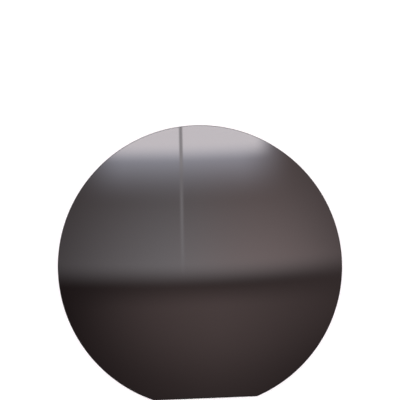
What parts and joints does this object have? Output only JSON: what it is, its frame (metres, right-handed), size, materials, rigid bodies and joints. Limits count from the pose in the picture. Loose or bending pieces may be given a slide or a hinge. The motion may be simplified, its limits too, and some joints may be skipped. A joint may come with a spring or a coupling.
{
  "type": "lithium niobate wafer",
  "caption": "Thin round wafer of dark single crystal with a straight orientation flat, a bevelled edge, a polished front and a lapped back.",
  "frame": {"origin": "centre of the full circle, on the back face", "axes": "+Z out of the polished front, -Y out of the orientation flat, +X along the flat"},
  "size_m": [0.15, 0.1461, 0.0005],
  "materials": {
    "crystal": "polished"
  },
  "bodies": {
    "root": {"wafer": "crystal"}
  },
  "joints": []
}
